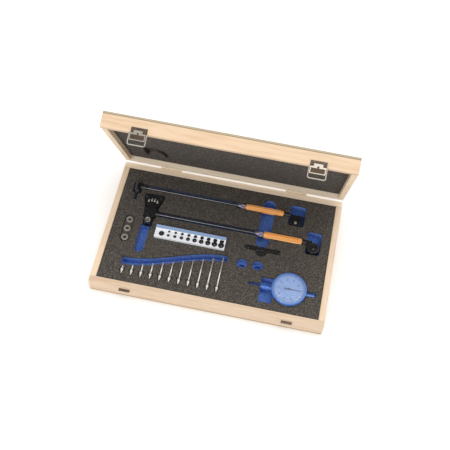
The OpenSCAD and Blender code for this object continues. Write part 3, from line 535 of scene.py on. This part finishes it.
def one_foam(node, finish):
    """The CAD foam is made of columns with hairline seams. The piece joins them into one sheet
    with softly rounded pocket edges."""
    seam = 0.065 * MM          # a little more than the hairline gap that it closes
    strip = 24                 # spacing of the cuts across the flat faces
    off_grid = 0.37            # keeps the cuts clear of the pockets' own corners
    bm = from_node(node)
    lo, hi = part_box(node)
    groups = {"even": [], "odd": [], "slab": []}
    islands = [(min(v.co.x for v in part), max(v.co.x for v in part), part)
               for part in loose_parts(bm)]
    new_column = 1 * MM        # columns start at least this far apart
    whole = lambda i: i[1] - i[0] > 0.98 * (hi.x - lo.x)
    starts = []
    for x0 in sorted(i[0] for i in islands if not whole(i)):
        if not starts or x0 - starts[-1] > new_column:
            starts.append(x0)
    for i in islands:
        if whole(i) and len(islands) > 1:
            groups["slab"] += i[2]
            for v in i[2]:
                if v.co.z > lo.z + 1 * MM:
                    v.co.z += seam
        else:
            column = max(k for k, s in enumerate(starts) if i[0] >= s - 0.5 * MM)
            groups["odd" if column % 2 else "even"] += i[2]
            if column:
                for v in i[2]:
                    if v.co.x < i[0] + 0.01 * MM:
                        v.co.x -= seam
    parts = []
    for key, verts in groups.items():
        if not verts:
            continue
        keep = set(verts)
        copy = bm.copy()
        copy.verts.ensure_lookup_table()
        bm.verts.ensure_lookup_table()
        bmesh.ops.delete(copy, geom=[copy.verts[v.index] for v in bm.verts if v not in keep],
                         context="VERTS")
        mesh = bpy.data.meshes.new(key)
        copy.to_mesh(mesh)
        copy.free()
        part = bpy.data.objects.new("joining_" + key, mesh)
        bpy.context.scene.collection.objects.link(part)
        parts.append(part)
    bm.free()
    for part in parts[1:]:
        join = parts[0].modifiers.new("join", "BOOLEAN")
        join.operation, join.solver, join.object = "UNION", "EXACT", part
    bpy.context.view_layer.update()
    joined = bpy.data.meshes.new_from_object(
        parts[0].evaluated_get(bpy.context.evaluated_depsgraph_get()))
    for part in parts:
        bpy.data.objects.remove(part)
    bm = bmesh.new()
    bm.from_mesh(joined)
    tidy(bm, 0.07 * MM, 1.0)
    # The flat faces run round every pocket, so they are cut into small fields that fill cleanly.
    for side, normal in ((lo.x, (1, 0, 0)), (lo.y, (0, 1, 0))):
        for k in range(1, 16):
            bmesh.ops.bisect_plane(bm, geom=bm.verts[:] + bm.edges[:] + bm.faces[:], dist=1e-6,
                                   plane_co=Vector(normal) * (side
                                                              + (k * strip + off_grid) * MM),
                                   plane_no=normal)
    round_edges(bm, 0.35, 2, 35)
    obj = as_object(bm, node + "_piece", [finish], frame["nodes"][node]["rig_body"])
    obj.modifiers.new("even_shading", "WEIGHTED_NORMAL").keep_sharp = True
    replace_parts(obj, node)
    return obj


one_foam("dark_foam", "foam_dark")
one_foam("blue_foam", "foam_blue")
lid_lining = piece("lid_foam", "foam_lid", 0.5, 2)


# ---------- hardware on the case ----------

piece("strike_plates", "dark_steel", 0.15)
piece("base_hinge_leaves", "brass", 0.2)
piece("hinge_pins", "brass", 0.2)
piece("lid_hinge_leaves", "brass", 0.2)
piece("latch_plates", "latch_brown", 0.15)

SHUT_RIM = 32.2            # the lid rim's height when shut
REAR = box("base_rear_board")[1].y
FRONT = box("base_front_board")[0].y
pin_half = 18.9            # half of a hinge pin's length
hinge_x = box("hinge_pins")[1].x - pin_half
latch_x = middle("right_latch_lever").x
strike_top = box("strike_plates")[1].z
leaf_face, plate_face = REAR + 1.2, FRONT - 0.8
screw_pitch, screw_stagger = 13, 2.5       # three screws in a hinge leaf, the middle one offset
hinge_screw_r = 2.3

bm = bmesh.new()
for s in (-1, 1):
    for k in (-1, 0, 1):
        spot = (s * hinge_x + k * screw_pitch, leaf_face, 23 + abs(k) * screw_stagger)
        screw_head(bm, placing(spot, (0, 1, 0)), hinge_screw_r)
    for k in (-1, 1):
        spot = (s * latch_x + k * 6, plate_face, strike_top - 2.2)
        screw_head(bm, placing(spot, (0, -1, 0)), 2.1)
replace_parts(made(bm, "base_screw_heads", "screw", "case", "screw_steel"), "base_screws")

bm = bmesh.new()
behind = Matrix.Rotation(-LID, 3, "X") @ Vector((0, 1, 0))
for s in (-1, 1):
    for k in (-1, 0, 1):
        spot = (s * hinge_x + k * screw_pitch, leaf_face, SHUT_RIM + 9 - abs(k) * screw_stagger)
        screw_head(bm, placing(on_lid(spot), behind), hinge_screw_r)
    for k in (-1, 1):
        spot = (s * latch_x + k * 7.5, plate_face, SHUT_RIM + 6.2)
        screw_head(bm, placing(on_lid(spot), -behind), 2.2)
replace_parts(made(bm, "lid_screw_heads", "dark_metal", "lid", "screw_steel"), "lid_screws")

# height of a latch lever's axis and depth of its outer face, both for the shut lid
AXIS_Z, FACE_Y = SHUT_RIM + 2, FRONT - 6.4
RIBS, RIB_PITCH = 6, 1.15
lid_turn = Matrix.Translation(HINGE * MM) @ Matrix.Rotation(-LID, 4, "X") @ Matrix.Translation(
    -HINGE * MM)
for side, s in (("left", -1), ("right", 1)):
    piece(side + "_latch_lever", "lever", 0.2)
    piece(side + "_latch_bail", "lever", 0.0)
    x = s * latch_x
    # sunk dark field of the wide end with pressed ribs across it, and the rivet above it
    bm = bmesh.new()
    slab(bm, (x - 10.6, FACE_Y - 0.12, AXIS_Z - 12.9), (x + 10.6, FACE_Y + 0.2, AXIS_Z - 5.6),
         lid_turn)
    for k in range(RIBS):
        spot = on_lid((x - 10, FACE_Y - 0.1, AXIS_Z - 6.4 - RIB_PITCH * k))
        lathe(bm, [(0.1, 0), (0.36, 0.4), (0.36, 19.6), (0.1, 20)], placing(spot, (1, 0, 0)), 12)
    lathe(bm, [(1.6, -0.7), (1.6, -0.2), (1.2, 0.1), (0.2, 0.15)],
          placing(on_lid((x, FACE_Y, AXIS_Z - 4)), -behind), 28)
    made(bm, side + "_latch_field", "latch_brown", side + "_lever", "nickel")


# ---------- bore gauges ----------

piece("small_gauge_tube", "tube_black", 0.15)
piece("small_gauge_head", "head_black", 0.35)
piece("small_gauge_contact", "steel", 0.1)
piece("small_gauge_grip", "grip_orange", 0.3, 2, angle=30)
piece("small_gauge_collet", "head_black", 0.25)
piece("small_gauge_clamp", "head_black", 0.5)
piece("large_gauge_tube", "tube_black", 0.15)
piece("large_gauge_head", "head_black", 0.5)
piece("large_gauge_bridge", "head_black", 0.5)
piece("large_gauge_contact", "steel", 0.1)
piece("large_gauge_push_rod", "steel", 0.1)
piece("large_gauge_grip", "grip_orange", 0.3, 2, angle=30)
piece("large_gauge_collet", "head_black", 0.25)
piece("large_gauge_clamp", "head_black", 0.6)

for size in ("small", "large"):
    node = size + "_gauge_ferrule"
    lo, hi = box(node)
    r, y, z = (hi.y - lo.y) / 2, (hi.y + lo.y) / 2, (hi.z + lo.z) / 2
    thin, length, cone = r - 0.9, hi.x - lo.x, 5
    profile = [(thin - 0.2, 0), (thin, 0.2), (r - 0.15, cone - 0.4), (r, cone),
               (r, cone + 0.6), (r - 0.35, cone + 0.8), (r - 0.35, cone + 1.4), (r, cone + 1.6),
               (r, length - 1.8), (r - 0.35, length - 1.6), (r - 0.35, length - 1.0),
               (r, length - 0.8), (r, length - 0.2), (r - 0.2, length)]
    bm = bmesh.new()
    lathe(bm, profile, placing((lo.x, y, z), (1, 0, 0)), 72, [(7, 8, 0.22)])
    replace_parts(made(bm, size + "_ferrule_turned", "ferrule", size + "_gauge", "ferrule_grey",
                     smooth=50), node)

# knurled screw of the small gauge's clamp
lo, hi = box("small_gauge_clamp")
bm = bmesh.new()
lathe(bm, [(2.3, -0.5), (2.5, 0), (2.5, 1.3), (2.2, 1.6)],
      placing(((lo.x + hi.x) / 2, lo.y + 3, hi.z), (0, 0, 1)), 36, [(1, 2, 0.18)])
made(bm, "small_clamp_screw", "steel", "small_gauge", "steel", smooth=50)

# rim and centre screw of the large gauge's clamp ring
lo, hi = box("large_gauge_clamp")
R = 10.5
nut = (hi.x - R, lo.y + R)
bm = bmesh.new()
lathe(bm, [(R - 1.6, -0.2), (R - 1.5, 0.25), (R - 2.0, 0.35), (R - 2.5, 0.25), (R - 2.6, -0.2)],
      placing((nut[0], nut[1], hi.z), (0, 0, 1)), 64, ring=True)
lathe(bm, [(2.6, 0.0), (2.6, 1.4), (2.2, 1.8), (1.0, 1.8), (0.8, 1.4), (0.2, 1.4)],
      placing((nut[0], nut[1], hi.z - 3), (0, 0, 1)), 36)
made(bm, "large_clamp_trim", "dark_metal", "large_gauge", "steel", smooth=50)

# cover screws and boss cap of the large gauge's head
TUBE_Z = 29                # height of the large gauge's axis
hx, cover_top = middle("large_gauge_contact").x, TUBE_Z + 6.5
boss_y, pin_row_y = 10.5, 52.5
bm = bmesh.new()
for x, y in ((-5.2, 22.5), (5.2, 22.5), (-5.8, 32), (5.8, 32)):
    screw_head(bm, placing((hx + x, y, cover_top), (0, 0, 1)), 1.5, 0.5, 0.5, slot_only=True)
made(bm, "large_head_screws", "dark_metal", "large_gauge", "steel")
bm = bmesh.new()
lathe(bm, [(4.9, -0.2), (4.9, 0.2), (4.6, 0.4), (3.5, 0.4), (3.2, 0.1), (1.7, 0.1), (1.5, 0.4),
           (0.2, 0.45)], placing((hx, boss_y, box("large_gauge_head")[1].z), (0, 0, 1)), 48)
made(bm, "large_boss_cap", "washer_steel", "large_gauge", "steel", smooth=50)

# roller caps and oval pins of the centring bridge
lo, hi = box("large_gauge_bridge")
roller_x, roller_inset = 12.4, 3.6
bm = bmesh.new()
for s in (-1, 1):
    lathe(bm, [(2.9, -0.6), (2.9, 0.1), (2.4, 0.45), (1.2, 0.5), (1.1, 0.75), (0.5, 0.85)],
          placing((hx + s * roller_x, hi.y - roller_inset, hi.z), (0, 0, 1)), 32)
made(bm, "bridge_roller_caps", "head_black", "large_bridge", "head_black", smooth=50)
bm = bmesh.new()
for x in (-7.5, -2.5, 2.5, 7.5):
    pin = placing((hx + x, pin_row_y - 0.4 * abs(x), TUBE_Z + 4.5), (0, 0, 1), (1, 0, 0))
    stretch = Matrix.Diagonal((1, 2.4, 1, 1))
    lathe(bm, [(1.3, -0.4), (1.4, 0.3), (1.0, 0.7), (0.1, 0.8)], pin @ stretch, 24)
made(bm, "bridge_rivets", "steel", "large_bridge", "steel", smooth=60)


# ---------- loose pieces ----------

def anvil_tops():
    """A low raised centre on each solid of the small anvils' CAD node, and a row of dark discs
    round the spare holes behind them, painted shade for the holes."""
    source = from_node("small_anvils")
    bm = bmesh.new()
    for part in loose_parts(source):
        lo = [min(v.co[k] for v in part) / MM for k in range(3)]
        hi = [max(v.co[k] for v in part) / MM for k in range(3)]
        r = (hi[0] - lo[0]) / 2
        lathe(bm, [(r * 0.42, -0.2), (r * 0.42, 0.1), (r * 0.34, 0.3), (r * 0.1, 0.35)],
              placing(((lo[0] + hi[0]) / 2, (lo[1] + hi[1]) / 2, hi[2]), (0, 0, 1)), 28)
    source.free()
    made(bm, "anvil_centres", "dark_metal", "anvils", "anvil_dark", smooth=50)
    tray_lo, tray_hi = box("anvil_tray")
    first_x, pitch = tray_lo.x + 23.5, 11.4
    # dark discs round the spare holes: painted shade that darkens the holes
    bm = bmesh.new()
    for i in range(9):
        r = 2.0 + 0.22 * i     # each disc is a little wider than the last
        lathe(bm, [(r, -0.4), (r, 0.2), (r - 0.3, 0.35), (0.9, 0.35), (0.7, 0.1), (0.1, 0.1)],
              placing((first_x + pitch * i, tray_hi.y - 8.9, tray_hi.z - 2), (0, 0, 1)), 32)
    made(bm, "spare_hole_shade_discs", "anvil_dark", "anvils", "anvil_dark", smooth=50)


piece("pin_spanner", "spanner_black", 0.5, 3)
band_front = box("anvil_tray")[0].y + 16.4 + 0.6       # the blue step along the tray's rear
piece("anvil_tray", ["tray_white", "tray_band"], 0.35, 2,
      lambda face: 1 if face.calc_center_median().y > band_front * MM and face.normal.z > 0.5
      else 0)
piece("small_anvils", "anvil_dark", 0.2)
anvil_tops()
piece("spacer_washers", "washer_steel", 0.45, 3)

THREAD_PITCH = 0.8
for i in range(1, 12):
    node = f"bolt_{i:02d}"
    lo, hi = box(node)
    at = placing(((lo.x + hi.x) / 2, lo.y, (lo.z + hi.z) / 2), (0, 1, 0), (0, 0, 1))
    length = hi.y - lo.y
    profile = [(0.5, 0), (0.8, 0.3), (2.0, 5.2), (2.1, 5.5), (2.5, 5.55), (2.7, 5.8), (2.7, 8.7),
               (2.5, 8.95), (1.4, 9.0)]
    thread = thread_start = 9.6
    while thread < min(length - 1.2, thread_start + THREAD_PITCH * 4):
        profile += [(1.4, thread), (1.15, thread + 0.25), (1.4, thread + 0.5)]
        thread += THREAD_PITCH
    profile += [(1.4, length - 0.4), (1.0, length)]
    bm = bmesh.new()
    lathe(bm, profile, at, 40, [(5, 6, 0.22)])
    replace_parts(made(bm, node + "_turned", "steel", node, "steel", smooth=50), node)


# ---------- dial indicator ----------

centre = middle("dial_face")
cx, cy = centre.x, centre.y
face_top = box("dial_face")[1].z
piece("dial_case", "dial_body", 0.4)
piece("dial_face", "dial_face", 0.0)
piece("dial_crystal", "dial_crystal", 0.3)
piece("dial_pointer", "hand_black", 0.08)
piece("dial_spindle", "dial_stem", 0.15)
piece("dial_cap", "dial_bezel", 0.3)

lo, hi = box("dial_bezel")
R, zb, zt = (hi.x - lo.x) / 2, lo.z, hi.z
inner, seat = 26.4, box("dial_crystal")[0].z
bm = bmesh.new()
lathe(bm, [(27.45, zb), (R - 0.3, zb), (R, zb + 0.3), (R, zb + 0.8), (R - 0.05, zb + 1.0),
           (R - 0.05, zt - 2.8), (R, zt - 2.6), (R, zt - 1.7), (R - 1.5, zt - 0.1), (R - 1.8, zt),
           (inner, zt), (inner, seat + 0.02), (25.4, seat), (25.4, seat - 1), (27.45, seat - 1)],
      placing((cx, cy, 0), (0, 0, 1)), 144, [(4, 5, 0.5)], ring=True)
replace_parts(made(bm, "bezel_ring", "dial_bezel", "bezel", "dial_bezel", smooth=35), "dial_bezel")

# printed scale: a hundred divisions, numbers every ten, zero away from the stem
INK, SUNK = 0.06, -0.02    # top and foot of the print, from the face
DIVISIONS, TICK_R, NUMBER_R = 100, 24.6, 17.6
COUNTER_TICKS = 20
COUNTER_X = cx - 9.5       # small turn counter, towards the stem
LINE = 0.12                # half width of the two printed circles
bm = bmesh.new()
for k in range(DIVISIONS):
    angle = -2 * math.pi * k / DIVISIONS
    long = 4.2 if k % 10 == 0 else 3.2 if k % 5 == 0 else 2.1
    half = 0.22 if k % 10 == 0 else 0.13
    turn = Matrix.Translation(Vector((cx, cy, face_top)) * MM) @ Matrix.Rotation(angle, 4, "Z")
    slab(bm, (TICK_R - long, -half, SUNK), (TICK_R, half, INK), turn)
for k in range(COUNTER_TICKS):
    angle = 2 * math.pi * k / COUNTER_TICKS
    turn = (Matrix.Translation(Vector((COUNTER_X, cy, face_top)) * MM)
            @ Matrix.Rotation(angle, 4, "Z"))
    slab(bm, (4.0 if k % 2 else 3.4, -0.09, SUNK), (4.8, 0.09, INK), turn)
for x, r in ((COUNTER_X, 5.2), (cx, 25.0)):
    lathe(bm, [(r - LINE, SUNK), (r - LINE, INK), (r + LINE, INK), (r + LINE, SUNK)],
          placing((x, cy, face_top), (0, 0, 1), (1, 0, 0)), 96, ring=True)
made(bm, "dial_scale", "ink", "dial", "hand_black")

bm = bmesh.new()
for k in range(10):
    angle = -2 * math.pi * k / 10
    text = bpy.data.curves.new("numeral", "FONT")
    text.body, text.size, text.align_x, text.align_y = str(k * 10), 4.4 * MM, "CENTER", "CENTER"
    text.extrude = INK * MM / 2
    numeral = bpy.data.objects.new("numeral", text)
    bpy.context.scene.collection.objects.link(numeral)
    bpy.context.view_layer.update()
    graph = bpy.context.evaluated_depsgraph_get()
    mesh = bpy.data.meshes.new_from_object(numeral.evaluated_get(graph))
    spot = Vector((cx + NUMBER_R * math.cos(angle), cy + NUMBER_R * math.sin(angle),
                   face_top + INK / 2))
    mesh.transform(Matrix.Translation(spot * MM) @ Matrix.Rotation(-math.pi / 2, 4, "Z"))
    bm.from_mesh(mesh)
    bpy.data.objects.remove(numeral)
made(bm, "dial_numerals", "ink", "dial", "hand_black")

bm = bmesh.new()
slab(bm, (COUNTER_X - 1.2, cy - 0.22, face_top), (COUNTER_X + 3.2, cy + 0.22, face_top + 0.35))
lathe(bm, [(0.8, 0), (0.8, 0.5), (0.5, 0.6)],
      placing((COUNTER_X, cy, face_top), (0, 0, 1)), 20)
made(bm, "turn_counter_hand", "hand_black", "dial", "hand_black", 0.05)


# ---------- stage, light and camera ----------

floor_mat = Finish("floor", Roughness=0.9, Specular_IOR_Level=0.1)
tone = floor_mat.noise((220, 220, 220), detail=1.0)
floor_mat.colour(floor_mat.ramp(tone, [(0.3, (0.96, 0.96, 0.96, 1)), (0.7, (0.98, 0.98, 0.98, 1))]))
M["floor"] = floor_mat.mat
bm = bmesh.new()
bmesh.ops.create_grid(bm, x_segments=1, y_segments=1, size=6.0)
floor_mesh = bpy.data.meshes.new("floor")
bm.to_mesh(floor_mesh)
bm.free()
floor_mesh.materials.append(M["floor"])
floor = bpy.data.objects.new("floor", floor_mesh)
floor.location.z = cad_bounds[0][2] - 0.0005
bpy.context.scene.collection.objects.link(floor)

world = bpy.data.worlds.new("studio")
bpy.context.scene.world = world
world.use_nodes = True
sky = world.node_tree.nodes["Background"]
sky.inputs["Color"].default_value = (1.0, 1.0, 1.0, 1)
sky.inputs["Strength"].default_value = 0.84


def area_light(name, place, aim, size, power):
    """Adds a soft rectangular light at a place, in metres, that faces the aim."""
    data = bpy.data.lights.new(name, "AREA")
    data.shape, data.size, data.size_y = "RECTANGLE", size[0], size[1]
    data.energy = power
    lamp = bpy.data.objects.new(name, data)
    lamp.location = place
    lamp.rotation_euler = (Vector(aim) - Vector(place)).to_track_quat("-Z", "Y").to_euler()
    bpy.context.scene.collection.objects.link(lamp)


area_light("key", (-0.7, -1.6, 1.5), (0, 0, 0.05), (1.2, 0.9), 13)
area_light("overhead", (0.4, 0.2, 1.9), (0, 0, 0), (1.6, 1.0), 14)

TARGET = Vector((2.56, 33.76, 26.6)) * MM
DISTANCE = 1.403           # metres
az, el, roll = (math.radians(v) for v in (8.11, 60.0, 3.83))
back = Vector((math.sin(az) * math.cos(el), -math.cos(az) * math.cos(el), math.sin(el)))
right = (-back).cross(Vector((0, 0, 1))).normalized()
up = right.cross(-back)
r_axis = right * math.cos(roll) + up * math.sin(roll)
u_axis = -right * math.sin(roll) + up * math.cos(roll)
camera = bpy.data.cameras.new("camera")
camera.lens, camera.sensor_width = 65.3, 36
camera.clip_end = 20
eye = bpy.data.objects.new("camera", camera)
eye.matrix_world = (Matrix.Translation(TARGET + back * DISTANCE)
                    @ Matrix((r_axis, u_axis, back)).transposed().to_4x4())
bpy.context.scene.collection.objects.link(eye)
bpy.context.scene.camera = eye
bpy.context.scene.view_settings.view_transform = "Standard"
